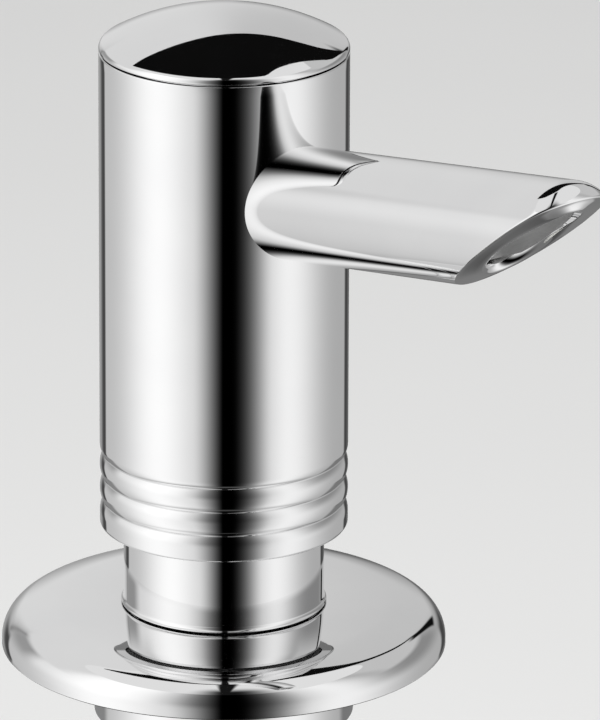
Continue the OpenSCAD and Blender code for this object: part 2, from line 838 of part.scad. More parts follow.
// Core of the head: socket for the stem, passage to the spout, discs and ribs inside the tube
module head_core() {
    color([0.3, 0.31, 0.33])
        difference() {
            union() {
                translate([0, 0, core_foot_z])
                    cylinder(r = core_r, h = core_top_z - core_foot_z);
                translate([0, 0, core_foot_z + core_disc_t])
                    cylinder(r = core_disc_r, h = core_disc_t);
                translate([0, 0, core_top_z - core_disc_t])
                    cylinder(r = core_disc_r, h = core_disc_t);
                for (a = rib_angles)
                    rotate([0, 0, a])
                        translate([0, -rib_t / 2, core_foot_z + core_disc_t])
                            cube([core_disc_r - rib_set_back, rib_t, core_top_z - core_foot_z - core_disc_t]);
            }
            translate([0, 0, core_foot_z - cut_over])
                cylinder(r = stem_r + run_fit, h = socket_depth + cut_over);
            translate([0, 0, core_foot_z])
                cylinder(r = flow_r, h = spout_z - core_foot_z);
            on_spout() {
                translate([0, 0, -passage_back])
                    cylinder(r = passage_r, h = passage_back + spout_root);
                translate([0, 0, feed_start])
                    cylinder(r = feed_tube_d / 2 + push_fit, h = spout_root);
            }
        }
}

// Plastic bush inside the head's foot, which slides on the sleeve
module guide_bush() {
    low = head_bottom_z + bush_set_up;
    color([0.2, 0.2, 0.21])
        ring(head_in_r - push_fit, neck_r + run_fit, low, low + bush_len);
}

// Spout: a rounded nose, cut at a slant underneath, with a bore along its axis
module spout() {
    color([0.86, 0.86, 0.87])
        on_spout()
            difference() {
                rotate_extrude()
                    difference() {
                        union() {
                            span(0, spout_root, spout_r, nose_start);
                            span(0, spout_root, spout_r - nose_r, spout_reach);
                            translate([spout_r - nose_r, nose_start])
                                intersection() {
                                    circle(r = nose_r);
                                    span(-nose_r, 0, nose_r, nose_r);
                                }
                        }
                        span(0, spout_root - cut_over, spout_bore_r, spout_reach + cut_over);
                    }
                past_cut(0);
            }
}

// Tube that carries the soap from the head's core to the outlet
module feed_tube() {
    color([0.85, 0.87, 0.88])
        on_spout()
            ring(feed_tube_d / 2, feed_bore_d / 2, feed_start, feed_end);
}

// Insert that closes the slanted end, with the outlet slot along its lower edge
module outlet_insert() {
    insert_r = spout_bore_r - push_fit;
    slot_x = spout_bore_r - outlet_slot_h;
    color([0.42, 0.42, 0.43])
        on_spout()
            difference() {
                translate([0, 0, insert_root])
                    cylinder(r = insert_r, h = spout_reach - insert_root);
                past_cut(insert_recess);
                translate([0, 0, insert_root - cut_over])
                    cylinder(r = feed_tube_d / 2 + push_fit, h = feed_end - insert_root + cut_over);
                translate([slot_x, -spout_bore_r, slot_start])
                    cube([spout_bore_r, spout_bore_d, spout_reach]);
                translate([0, -feed_bore_d / 2, feed_end])
                    cube([spout_bore_r, feed_bore_d, slot_lead]);
            }
}

base_flange();
flange_gasket();
threaded_shank();
rubber_washer();
metal_washer();
clamping_nut();
soap_bottle();
bottle_seal();
pump_collar();
collar_seal_ring();
neck_gasket();
neck_sleeve();
pump_cylinder();
cylinder_cap();
stem_seal();
valve_cage();
dip_tube();
return_spring();
inlet_ball();
piston();
piston_stem();
outlet_ball();
head_shell();
head_cap();
head_core();
guide_bush();
spout();
feed_tube();
outlet_insert();
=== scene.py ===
import json
import math

import bpy
import bmesh
from mathutils import Matrix, Vector


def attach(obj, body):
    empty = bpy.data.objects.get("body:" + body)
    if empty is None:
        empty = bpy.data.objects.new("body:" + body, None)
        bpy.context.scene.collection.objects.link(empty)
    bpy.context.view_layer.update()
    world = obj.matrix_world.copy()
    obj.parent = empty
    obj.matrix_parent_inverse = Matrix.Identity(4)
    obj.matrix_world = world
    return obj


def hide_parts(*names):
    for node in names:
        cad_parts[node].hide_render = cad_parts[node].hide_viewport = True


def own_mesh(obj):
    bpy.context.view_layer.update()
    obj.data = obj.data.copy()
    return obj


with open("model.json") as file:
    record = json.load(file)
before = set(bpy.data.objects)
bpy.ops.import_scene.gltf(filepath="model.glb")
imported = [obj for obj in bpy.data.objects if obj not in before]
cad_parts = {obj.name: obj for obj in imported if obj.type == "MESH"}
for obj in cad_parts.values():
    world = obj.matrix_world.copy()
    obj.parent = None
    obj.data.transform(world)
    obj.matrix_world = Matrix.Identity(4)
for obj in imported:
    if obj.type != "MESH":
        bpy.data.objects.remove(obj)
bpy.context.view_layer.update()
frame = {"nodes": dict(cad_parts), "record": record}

nodes = frame["nodes"]
scene = bpy.context.scene
MM = 0.001
WELD = 2e-7

# Sizes in millimetres, as the solids have them, apart from small rounded edges and what a comment names

# Head tube; the bend leads from the uppermost bead to the straight wall
HEAD_R = 16.0
HEAD_IN_R = 14.0
HEAD_LOW = 16.5
HEAD_TOP = 80.07
HEAD_FOOT_ROUND = 0.5
HEAD_EDGE = 0.15
BEADS = 3
BEAD_PITCH = 3.18
BEAD_DEPTH = 0.45
BEAD_FOOT = 1.72
BEND_SHARE = 0.75
HEAD_ROW_GAP = 1

# Domed cap; the seam is deeper than in the solid, so that it stays dark
CAP_BASE = 80.33
CAP_SIDE = 0.1
CAP_EDGE = 0.9
CAP_FOOT_EDGE = 0.08
CAP_WALL = 1.6
DOME_R = 31.5
SKIRT_R = 13.95
SKIRT_T = 1.3
SKIRT_LEN = 4.0
SEAM_DEPTH = 1.4

# Sleeve below the head
NECK_R = 12.95
NECK_WALL = 1.3
NECK_FOOT = 5.95
NECK_TOP = 28.5
NECK_SHOULDER = 1.6
NECK_SPIGOT_R = 10.6
NECK_SPIGOT_IN = 9.2
NECK_SPIGOT_LOW = 3.2
FLARE_H = 0.65
LIP_PROUD = 0.35
LIP_EDGE = 0.12
LIP_NOSE = 0.08
NECK_ROW_GAP = 0.5

# Flange
FLANGE_R = 28.75
FLANGE_H = 5.75
FLANGE_ROUND = 3.9
FLANGE_EDGE = 0.15
HOLE_R = 12.9
HOLE_EDGE = 0.2
TOP_R = 120.0
CROWN_R = 21.0
CROWN_W = 5.3
HUB_R = 16.8
HUB_LOW = -9.0
SOCKET_R = 15.05
GROOVE_IN = 20.0
GROOVE_OUT = 25.0
GROOVE_TOP = 1.3

# Spout, with angles in degrees; lengths along it start at the head's axis
SPOUT_R = 7.325
SPOUT_BORE = 4.5
SPOUT_Z = 61.0
SPOUT_RISE = 10.0
SPOUT_ROOT = 9.0
SPOUT_REACH = 74.9
NOSE_R = 3.6
CUT_START = 50.4
CUT_ANGLE = 27.2
CUT_EDGE = 0.28
BORE_EDGE = 0.2

# Face of the insert in the spout's end; it lies closer to the cut than the solid's
INSERT_R = 4.46
INSERT_SLOT = 3.3
INSERT_RECESS = 0.15
INSERT_DEEP = 0.5
INSERT_EDGE = 0.06

# Shank; the thread is only here, and fades out over its run-outs
SHANK_R = 15.0
SHANK_BORE = 11.2
SHANK_TOP = -4.0
SHANK_END = -62.2
THREAD_PITCH = 2.0
THREAD_DEPTH = 0.75
THREAD_TOP = -8.0
THREAD_FADE_TOP = 1.5
THREAD_FADE_END = 0.8
THREAD_FLANK = 2.6
THREAD_CREST = 0.15

# Washers and nut under the deck
WASHER_R = 27.0
WASHER_IN = 15.3
DECK_UNDER = -30.0
METAL_TOP = -32.5
SOFT_EDGE = 0.5
METAL_EDGE = 0.15
NUT_TOP = -33.7
NUT_R = 20.0
NUT_BORE = 15.1
NUT_H = 10.5
NUT_BASE_R = 24.0
NUT_BASE_T = 2.5
NUT_EDGE = 0.8
NUT_TOP_EDGE = 0.3
NUT_FILLET = 1.5
WINGS = 4
WING_ROOT = 17.0
WING_TIP = 30.0
WING_T = 5.0
WING_GAP = 0.1
WING_EDGE = 0.9
WING_TURN = 45

# Bottle
BOTTLE_R = 34.0
BOTTLE_WALL = 1.6
BOTTLE_FOOT = -184.2
FOOT_ROUND = 6.0
SHOULDER_Z = -66.2
SHOULDER_ROUND = 13.0
BOTTLE_TOP = -46.7
BOTTLE_LEDGE = -63.7
BOTTLE_NECK_R = 17.6
BOTTLE_NECK_IN = 15.1
BOTTLE_LIP = 0.5
NECK_FILLET = 1.5
THROAT_R = 12.0
KICK_R = 24.0
KICK_H = 1.2
KICK_EDGE = 0.6

# Return spring, just clear of its seats
SPRING_LOW = -45.95
SPRING_LEN = 21.9
SPRING_TURNS = 6.5
COIL_R = 5.15
WIRE_R = 0.45

# Numbers of steps in the meshes
FLANGE_TURNS = 400
SPOUT_TURNS = 288
BOTTLE_TURNS = 192
WASHER_TURNS = 160
NUT_TURNS = 128
INSERT_TURNS = 120
THREAD_TURNS = 96
THREAD_ROWS = 330
COIL_STEPS = 260
WIRE_SIDES = 14

# Camera: the photograph's viewing angle, with distances in metres
VIEW_AZ = math.radians(52.87)
VIEW_EL = math.radians(19.0)
VIEW_ROLL = math.radians(0.2)
VIEW_DIST = 1.207
VIEW_LENS = 470.0
VIEW_SENSOR = 36.0
VIEW_FAR = 50.0
VIEW_TARGET = Vector((0.00589, 0.00778, 0.0385))


# Mesh helpers
def arc(cr, cz, r, a0, a1, n):
    """Points of an arc in n steps, in the profile plane; angles in degrees from the outward direction."""
    angles = [math.radians(a0 + (a1 - a0) * i / n) for i in range(n + 1)]
    return [(cr + r * math.cos(a), cz + r * math.sin(a)) for a in angles]


def line(a, b, n):
    """Points from a towards b in n steps, without b."""
    return [(a[0] + (b[0] - a[0]) * i / n, a[1] + (b[1] - a[1]) * i / n) for i in range(n)]


def rounded_ring(outer, inner, low, high, edge):
    """Profile of a ring whose four edges are rounded."""
    profile = arc(outer - edge, low + edge, edge, -90, 0, 5)
    profile += arc(outer - edge, high - edge, edge, 0, 90, 5)
    profile += arc(inner + edge, high - edge, edge, 90, 180, 5)
    profile += arc(inner + edge, low + edge, edge, 180, 270, 5)
    return profile


def finish_mesh(mesh, sharp):
    """Welds, turns the faces outward and shades smooth, with creases at sharp angles."""
    bm = bmesh.new()
    bm.from_mesh(mesh)
    bmesh.ops.remove_doubles(bm, verts=bm.verts, dist=WELD)
    bmesh.ops.recalc_face_normals(bm, faces=bm.faces)
    bm.to_mesh(mesh)
    bm.free()
    for poly in mesh.polygons:
        poly.use_smooth = True
    mesh.set_sharp_from_angle(angle=math.radians(sharp))


def add_mesh(name, verts, faces, material, sharp=35.0):
    """A new object from points in millimetres and faces."""
    mesh = bpy.data.meshes.new(name)
    mesh.from_pydata([Vector(v) * MM for v in verts], [], faces)
    finish_mesh(mesh, sharp)
    obj = bpy.data.objects.new(name, mesh)
    scene.collection.objects.link(obj)
    mesh.materials.append(material)
    return obj


def ring_faces(rows, around, closed):
    """Quads between rows of points; closed joins the last row to the first."""
    faces = []
    for k in range(rows if closed else rows - 1):
        m = (k + 1) % rows
        for i in range(around):
            j = (i + 1) % around
            faces.append((k * around + i, k * around + j, m * around + j, m * around + i))
    return faces


def end_faces(count, around):
    """Faces that close the first and the last row of points."""
    return [tuple(range(around)), tuple(range(count - around, count))]


def revolve(name, profile, material, turns=320, sharp=35.0):
    """A closed profile of (radius, height) turned about Z."""
    verts = []
    for r, z in profile:
        for i in range(turns):
            a = 2 * math.pi * i / turns
            verts.append((r * math.cos(a), r * math.sin(a), z))
    return add_mesh(name, verts, ring_faces(len(profile), turns, True), material, sharp)


def dress(obj, body, slot, *replaced):
    """Puts a piece on its body and hides the nodes it stands for; its slot is not used."""
    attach(obj, body)
    if replaced:
        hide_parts(*replaced)
    return obj


# Materials
def new_material(name):
    """A material with its node tree and its surface node."""
    mat = bpy.data.materials.new(name)
    mat.use_nodes = True
    tree = mat.node_tree
    return mat, tree, tree.nodes["Principled BSDF"]


def noise(tree, scale, detail=3.0, rough=0.5):
    """Noise in the object's own space."""
    coord = tree.nodes.new("ShaderNodeTexCoord")
    tex = tree.nodes.new("ShaderNodeTexNoise")
    tex.inputs["Scale"].default_value = scale
    tex.inputs["Detail"].default_value = detail
    tex.inputs["Roughness"].default_value = rough
    tree.links.new(coord.outputs["Object"], tex.inputs["Vector"])
    return tex.outputs["Fac"]


def spread(tree, value, low, high, start=0.3, end=0.7):
    """Maps a value from start and end to low and high."""
    node = tree.nodes.new("ShaderNodeMapRange")
    node.inputs["From Min"].default_value = start
    node.inputs["From Max"].default_value = end
    node.inputs["To Min"].default_value = low
    node.inputs["To Max"].default_value = high
    tree.links.new(value, node.inputs["Value"])
    return node.outputs["Result"]


def two_tone(tree, value, dark, light, start=0.3, end=0.7):
    """A colour between dark and light."""
    ramp = tree.nodes.new("ShaderNodeValToRGB")
    ramp.color_ramp.elements[0].position = start
    ramp.color_ramp.elements[0].color = (*dark, 1)
    ramp.color_ramp.elements[1].position = end
    ramp.color_ramp.elements[1].color = (*light, 1)
    tree.links.new(value, ramp.inputs["Fac"])
    return ramp.outputs["Color"]


def bump(tree, height, strength, distance):
    """A fine relief of the surface."""
    node = tree.nodes.new("ShaderNodeBump")
    node.inputs["Strength"].default_value = strength
    node.inputs["Distance"].default_value = distance
    tree.links.new(height, node.inputs["Height"])
    return node.outputs["Normal"]


ROUGH_SCALE = 2.7
ROUGH_DETAIL = 5.0
GRAIN_DETAIL = 2.0


def surface(name, dark, light, tone_scale, rough, grain=None, metallic=0.0, **extra):
    """A material whose colour and roughness vary a little; grain is a scale, a strength and a distance."""
    mat, tree, bsdf = new_material(name)
    tone = noise(tree, tone_scale)
    tree.links.new(two_tone(tree, tone, dark, light), bsdf.inputs["Base Color"])
    sheen = noise(tree, tone_scale * ROUGH_SCALE, ROUGH_DETAIL)
    tree.links.new(spread(tree, sheen, *rough), bsdf.inputs["Roughness"])
    bsdf.inputs["Metallic"].default_value = metallic
    for key, value in extra.items():
        bsdf.inputs[key.replace("_", " ")].default_value = value
    if grain:
        scale, strength, distance = grain
        relief = bump(tree, noise(tree, scale, GRAIN_DETAIL), strength, distance)
        tree.links.new(relief, bsdf.inputs["Normal"])
    return mat


chrome = surface("chrome_plating", (0.84, 0.84, 0.843), (0.865, 0.865, 0.865), 90,
                 (0.015, 0.035), metallic=1.0)
rubber = surface("black_rubber", (0.012, 0.012, 0.012), (0.022, 0.022, 0.022), 220,
                 (0.6, 0.8), (2600, 0.25, 0.0002))
steel = surface("bright_steel", (0.55, 0.56, 0.57), (0.66, 0.67, 0.68), 160,
                (0.18, 0.3), (1500, 0.08, 0.0001), metallic=1.0)
brass = surface("turned_brass", (0.58, 0.41, 0.18), (0.72, 0.53, 0.25), 140,
                (0.2, 0.34), (900, 0.08, 0.0001), metallic=1.0)
black_plastic = surface("black_moulding", (0.018, 0.018, 0.019), (0.03, 0.03, 0.031), 180,
                        (0.38, 0.5), (2400, 0.2, 0.0001))
white_plastic = surface("white_moulding", (0.78, 0.78, 0.75), (0.85, 0.85, 0.83), 150,
                        (0.35, 0.48), (2000, 0.1, 0.0001))
grey_plastic = surface("grey_moulding", (0.26, 0.29, 0.33), (0.33, 0.36, 0.4), 150,
                       (0.4, 0.5), (2000, 0.1, 0.0001))
clear_plastic = surface("clear_tubing", (0.82, 0.85, 0.87), (0.9, 0.92, 0.93), 120,
                        (0.12, 0.2), Transmission_Weight=0.6)
bottle_plastic = surface("natural_bottle", (0.84, 0.84, 0.8), (0.9, 0.9, 0.87), 60,
                         (0.3, 0.4), (700, 0.05, 0.0002), Transmission_Weight=0.4)
insert_plastic = surface("grey_insert", (0.2, 0.2, 0.2), (0.26, 0.26, 0.26), 260,
                         (0.3, 0.42), (3000, 0.15, 0.0001))

SLOTS = {"chrome": chrome, "rubber": rubber, "steel": steel, "brass": brass,
         "black_plastic": black_plastic, "white_plastic": white_plastic, "grey_plastic": grey_plastic,
         "clear_plastic": clear_plastic, "bottle_plastic": bottle_plastic, "insert_plastic": insert_plastic}
for part in frame["record"]["subparts"]:
    mesh = nodes[part["node"]].data
    mesh.materials.clear()
    mesh.materials.append(SLOTS[part["material_slot"]])


# Head
def head_tube_profile():
    """Tube with its bead rings; the lowest bead runs straight down to a rounded edge."""
    bead_r = ((BEAD_PITCH / 2) ** 2 + BEAD_DEPTH ** 2) / (2 * BEAD_DEPTH)
    half = math.degrees(math.asin(BEAD_PITCH / 2 / bead_r))
    bead_low = HEAD_LOW + BEAD_FOOT
    profile = [(HEAD_IN_R, HEAD_LOW)]
    profile += arc(HEAD_R - HEAD_FOOT_ROUND, HEAD_LOW + HEAD_FOOT_ROUND, HEAD_FOOT_ROUND, -90, 0, 14)
    for i in range(BEADS):
        start = 0 if i == 0 else -half
        profile += arc(HEAD_R - bead_r, bead_low + i * BEAD_PITCH, bead_r, start, half, 28)
    bend_r = BEND_SHARE * bead_r
    bend_rise = math.sqrt(bend_r ** 2 - (bend_r - BEAD_DEPTH) ** 2)
    bend_z = bead_low + (BEADS - 0.5) * BEAD_PITCH + bend_rise
    bend_a = math.degrees(math.acos((bend_r - BEAD_DEPTH) / bend_r))
    profile += arc(HEAD_R - bend_r, bend_z, bend_r, -bend_a, 0, 18)
    profile += line((HEAD_R, bend_z + HEAD_ROW_GAP), (HEAD_R, HEAD_TOP - HEAD_EDGE), 40)
    profile += arc(HEAD_R - HEAD_EDGE, HEAD_TOP - HEAD_EDGE, HEAD_EDGE, 0, 90, 6)
    return profile + [(HEAD_IN_R, HEAD_TOP)]


def head_dome_profile():
    """Domed cap with its skirt and the seam under it."""
    edge_r, edge_z = HEAD_R - CAP_EDGE, CAP_BASE + CAP_SIDE
    dome_z = edge_z - math.sqrt((DOME_R - CAP_EDGE) ** 2 - edge_r ** 2)
    edge_a = math.degrees(math.atan2(edge_z - dome_z, edge_r))
    inner = DOME_R - CAP_WALL
    hollow_r = SKIRT_R - SKIRT_T
    hollow_a = math.degrees(math.acos(hollow_r / inner))
    skirt_low = HEAD_TOP - SKIRT_LEN
    profile = [(hollow_r, skirt_low), (SKIRT_R, skirt_low), (SKIRT_R, HEAD_TOP),
               (HEAD_R - SEAM_DEPTH, HEAD_TOP), (HEAD_R - SEAM_DEPTH, CAP_BASE)]
    profile += arc(HEAD_R - CAP_FOOT_EDGE, CAP_BASE + CAP_FOOT_EDGE, CAP_FOOT_EDGE, -90, 0, 5)
    profile += arc(edge_r, edge_z, CAP_EDGE, 0, edge_a, 24)[:-1]
    profile += arc(0, dome_z, DOME_R, edge_a, 90, 70)
    profile += arc(0, dome_z, inner, 90, hollow_a, 24)
    return profile


dress(revolve("head_tube", head_tube_profile(), chrome), "head", "chrome", "head_shell")
dress(revolve("head_dome", head_dome_profile(), chrome), "head", "chrome", "head_cap")


# Sleeve and flange
def sleeve_profile():
    """Sleeve below the head; its foot flares out to a thin lip."""
    neck_in = NECK_R - NECK_WALL
    shoulder = NECK_FOOT + NECK_SHOULDER
    flare_r = (LIP_PROUD ** 2 + FLARE_H ** 2) / (2 * LIP_PROUD)
    flare_z = NECK_FOOT + LIP_EDGE + FLARE_H
    lip_r = NECK_R + LIP_PROUD - LIP_NOSE
    lip_in = NECK_R + flare_r - lip_r
    lip_drop = math.sqrt((flare_r + LIP_NOSE) ** 2 - lip_in ** 2)
    lip_a = math.degrees(math.atan2(lip_drop, lip_in))
    profile = [(NECK_SPIGOT_IN, NECK_SPIGOT_LOW), (NECK_SPIGOT_R, NECK_SPIGOT_LOW), (NECK_SPIGOT_R, NECK_FOOT)]
    profile += arc(lip_r, flare_z - lip_drop, LIP_NOSE, -90, lip_a, 10)
    profile += arc(NECK_R + flare_r, flare_z, flare_r, 180 + lip_a, 180, 24)[1:]
    profile += line((NECK_R, flare_z + NECK_ROW_GAP), (NECK_R, NECK_TOP), 20)
    profile += [(NECK_R, NECK_TOP), (neck_in, NECK_TOP), (neck_in, shoulder), (NECK_SPIGOT_IN, shoulder)]
    return profile


def flange_profile():
    """Flange with a gently domed top, a soft crown, a rounded rim, a hub and a gasket groove."""
    top_r, top_z = HOLE_R + HOLE_EDGE, FLANGE_H - TOP_R
    rim_r = FLANGE_R - FLANGE_ROUND
    crown_r = rim_r - CROWN_W
    top_a = math.asin((crown_r - top_r) / (TOP_R - CROWN_R))
    crown_a = math.asin(CROWN_W / (CROWN_R - FLANGE_ROUND))
    crown_z = top_z + (TOP_R - CROWN_R) * math.cos(top_a)
    rim_z = crown_z + (CROWN_R - FLANGE_ROUND) * math.cos(crown_a)
    rim_end, crown_end = 90 - math.degrees(crown_a), 90 - math.degrees(top_a)
    profile = [(SOCKET_R, HUB_LOW), (HUB_R, HUB_LOW), (HUB_R, 0), (GROOVE_IN, 0), (GROOVE_IN, GROOVE_TOP),
               (GROOVE_OUT, GROOVE_TOP), (GROOVE_OUT, 0), (FLANGE_R - FLANGE_EDGE, 0), (FLANGE_R, FLANGE_EDGE)]
    profile += arc(rim_r, rim_z, FLANGE_ROUND, 0, rim_end, 60)[:-1]
    profile += arc(crown_r, crown_z, CROWN_R, rim_end, crown_end, 30)[:-1]
    profile += arc(top_r, top_z, TOP_R, crown_end, 90, 16)
    profile += arc(top_r, FLANGE_H - HOLE_EDGE, HOLE_EDGE, 90, 180, 6)[1:]
    return profile + [(HOLE_R, SHANK_TOP), (SOCKET_R, SHANK_TOP)]


dress(revolve("sleeve", sleeve_profile(), chrome), "base", "chrome", "neck_sleeve")
dress(revolve("flange", flange_profile(), chrome, FLANGE_TURNS), "base", "chrome", "base_flange")


# Spout: its wall is swept around the axis, each line ending at the slanted cut
def fillet(before, corner, after, radius, n):
    """Rounds the corner between two straight lines, in the plane of one wall line."""
    a = (Vector(before) - Vector(corner)).normalized()
    b = (Vector(after) - Vector(corner)).normalized()
    angle = a.angle(b)
    mid = (a + b).normalized() * (radius / math.sin(angle / 2))
    start = a * (radius / math.tan(angle / 2)) - mid
    end = b * (radius / math.tan(angle / 2)) - mid
    centre = Vector(corner) + mid
    return [tuple(centre + start.slerp(end, i / n)) for i in range(n + 1)]


SPOUT_STRAIGHT = SPOUT_REACH - NOSE_R - SPOUT_ROOT
CUT_SLOPE = 1 / math.tan(math.radians(CUT_ANGLE))
ROOT_SHARE, ROOT_STEPS = 0.82, 10
TIP_SHARE, TIP_STEPS = 0.18, 44
HALVINGS = 50


def spout_outside(t):
    """Point and outward normal at a distance along the outside, from the root over the nose."""
    u = min(max(t - SPOUT_STRAIGHT, 0.0) / NOSE_R, math.pi / 2)
    s = SPOUT_ROOT + min(t, SPOUT_STRAIGHT)
    normal = Vector((math.cos(u), math.sin(u)))
    return Vector((SPOUT_R - NOSE_R, s)) + normal * NOSE_R, normal


def cut_distance(face, on_face):
    """How far the outside runs before the rounded edge of the cut begins, found by halving."""
    def short_of_cut(t):
        point, normal = spout_outside(t)
        return (point - normal * CUT_EDGE - on_face).dot(face) + CUT_EDGE < 0

    low, high = 0.0, SPOUT_STRAIGHT + NOSE_R * math.pi / 2
    for _ in range(HALVINGS):
        mid = (low + high) / 2
        low, high = (mid, high) if short_of_cut(mid) else (low, mid)
    return low


def spout_line(theta):
    """One wall line at an angle around the axis: outside, rounded cut edge, cut face, bore."""
    lean = CUT_SLOPE * math.cos(theta)
    face = Vector((lean, 1.0)).normalized()
    on_face = Vector((0.0, CUT_START + SPOUT_R * CUT_SLOPE))
    end = cut_distance(face, on_face)
    point, normal = spout_outside(end)
    centre = point - normal * CUT_EDGE
    rounded = [tuple(centre + normal.slerp(face, i / 8) * CUT_EDGE) for i in range(9)]
    steps = [end * ROOT_SHARE * i / ROOT_STEPS for i in range(ROOT_STEPS)]
    steps += [end * (ROOT_SHARE + TIP_SHARE * i / TIP_STEPS) for i in range(TIP_STEPS)]
    bore = (SPOUT_BORE, on_face.y - SPOUT_BORE * lean)
    inner_edge = fillet(rounded[-1], bore, (SPOUT_BORE, SPOUT_ROOT), BORE_EDGE, 20)
    points = [tuple(spout_outside(t)[0]) for t in steps] + rounded
    points += line(rounded[-1], inner_edge[0], 4)[1:] + inner_edge
    points += line(inner_edge[-1], (SPOUT_BORE, SPOUT_ROOT), 8)[1:]
    return points + [(SPOUT_BORE, SPOUT_ROOT)]


def on_spout(x, y, s):
    """A point given square to and along the spout's axis; x points to the underside."""
    c, d = math.cos(math.radians(SPOUT_RISE)), math.sin(math.radians(SPOUT_RISE))
    return x * d + s * c, y, SPOUT_Z - x * c + s * d


verts = []
for i in range(SPOUT_TURNS):
    theta = 2 * math.pi * i / SPOUT_TURNS
    wall = spout_line(theta)
    verts += [on_spout(r * math.cos(theta), r * math.sin(theta), s) for r, s in wall]
faces = ring_faces(SPOUT_TURNS, len(wall), True)
dress(add_mesh("spout_tube", verts, faces, chrome, sharp=40.0), "head", "chrome", "spout")


# Face of the insert in the spout's end, with its lower side left open as the outlet slot
def insert_ring(inset, recess):
    """Outline of the insert's face at a depth below the cut, a circle with a flat side."""
    ring = []
    for i in range(INSERT_TURNS):
        a = 2 * math.pi * i / INSERT_TURNS
        x = min((INSERT_R - inset) * math.cos(a), INSERT_SLOT - inset)
        s = CUT_START + (SPOUT_R - x) * CUT_SLOPE - recess / math.sin(math.radians(CUT_ANGLE))
        ring.append(on_spout(x, (INSERT_R - inset) * math.sin(a), s))
    return ring


verts = insert_ring(0.0, INSERT_DEEP)
verts += insert_ring(0.0, INSERT_RECESS + INSERT_EDGE)
verts += insert_ring(INSERT_EDGE, INSERT_RECESS)
faces = ring_faces(3, INSERT_TURNS, False) + end_faces(len(verts), INSERT_TURNS)
dress(add_mesh("insert_face", verts, faces, insert_plastic), "head", "insert_plastic")


# Threaded shank: a helical thread between its plain ends
def clamp(x):
    """A value kept between 0 and 1."""
    return min(1.0, max(0.0, x))


def thread_r(z, share):
    """Radius of the thread at a height and a share of the way round."""
    full = clamp((THREAD_TOP - z) / THREAD_FADE_TOP) * clamp((z - SHANK_END) / THREAD_FADE_END)
    turn = (z / THREAD_PITCH - share) % 1.0
    return SHANK_R - THREAD_DEPTH * full * clamp(THREAD_FLANK * abs(turn - 0.5) - THREAD_CREST)


verts = []
for k in range(THREAD_ROWS + 1):
    z = SHANK_END + (SHANK_TOP - SHANK_END) * k / THREAD_ROWS
    for i in range(THREAD_TURNS):
        r = thread_r(z, i / THREAD_TURNS)
        a = 2 * math.pi * i / THREAD_TURNS
        verts.append((r * math.cos(a), r * math.sin(a), z))
for z in (SHANK_TOP, SHANK_END):
    for i in range(THREAD_TURNS):
        a = 2 * math.pi * i / THREAD_TURNS
        verts.append((SHANK_BORE * math.cos(a), SHANK_BORE * math.sin(a), z))
faces = ring_faces(THREAD_ROWS + 3, THREAD_TURNS, True)
dress(add_mesh("thread", verts, faces, brass, sharp=50.0), "base", "brass", "threaded_shank")

# Washers under the deck
profile = rounded_ring(WASHER_R, WASHER_IN, METAL_TOP, DECK_UNDER, SOFT_EDGE)
dress(revolve("soft_washer", profile, rubber, WASHER_TURNS), "base", "rubber", "rubber_washer")
profile = rounded_ring(WASHER_R, WASHER_IN, NUT_TOP, METAL_TOP, METAL_EDGE)
dress(revolve("flat_washer", profile, steel, WASHER_TURNS), "base", "steel", "metal_washer")


# Clamping nut: a turned body with rounded edges, joined with its wings
def nut_profile():
    """Body of the nut, with its wider base on top."""
    nut_low = NUT_TOP - NUT_H
    base_low = NUT_TOP - NUT_BASE_T
    profile = arc(NUT_R - NUT_EDGE, nut_low + NUT_EDGE, NUT_EDGE, -90, 0, 6)
    profile += arc(NUT_R + NUT_FILLET, base_low - NUT_FILLET, NUT_FILLET, 180, 90, 6)
    profile += arc(NUT_BASE_R - NUT_EDGE, base_low + NUT_EDGE, NUT_EDGE, -90, 0, 6)
    profile += arc(NUT_BASE_R - NUT_TOP_EDGE, NUT_TOP - NUT_TOP_EDGE, NUT_TOP_EDGE, 0, 90, 3)
    return profile + [(NUT_BORE, NUT_TOP), (NUT_BORE, nut_low)]


def wing_object(index):
    """One wing as a block with rounded edges."""
    bm = bmesh.new()
    bmesh.ops.create_cube(bm, size=1.0)
    size = Matrix.Diagonal((WING_TIP - WING_ROOT, WING_T, NUT_H - 2 * WING_GAP, 1.0))
    place = Matrix.Translation(((WING_TIP + WING_ROOT) / 2, 0.0, NUT_TOP - NUT_H / 2 - WING_GAP))
    turn = Matrix.Rotation(math.radians(WING_TURN + 360 * index / WINGS), 4, "Z")
    bm.transform(Matrix.Scale(MM, 4) @ turn @ place @ size)
    bmesh.ops.bevel(bm, geom=bm.edges, offset=WING_EDGE * MM, segments=4, profile=0.5, affect="EDGES")
    mesh = bpy.data.meshes.new("wing")
    bm.to_mesh(mesh)
    bm.free()
    wing = bpy.data.objects.new("wing", mesh)
    scene.collection.objects.link(wing)
    return wing


def join_wing(nut, wing):
    """Joins a wing to the nut's mesh and removes the wing."""
    union = nut.modifiers.new("wing", "BOOLEAN")
    union.operation = "UNION"
    union.object = wing
    bpy.context.view_layer.update()
    whole = nut.evaluated_get(bpy.context.evaluated_depsgraph_get())
    joined = bpy.data.meshes.new_from_object(whole)
    nut.modifiers.clear()
    nut.data = joined
    bpy.data.objects.remove(wing)


nut = revolve("wing_nut", nut_profile(), black_plastic, NUT_TURNS)
for i in range(WINGS):
    join_wing(nut, wing_object(i))
nut.data.materials.clear()
nut.data.materials.append(black_plastic)
finish_mesh(nut.data, sharp=40.0)
dress(nut, "base", "black_plastic", "clamping_nut")


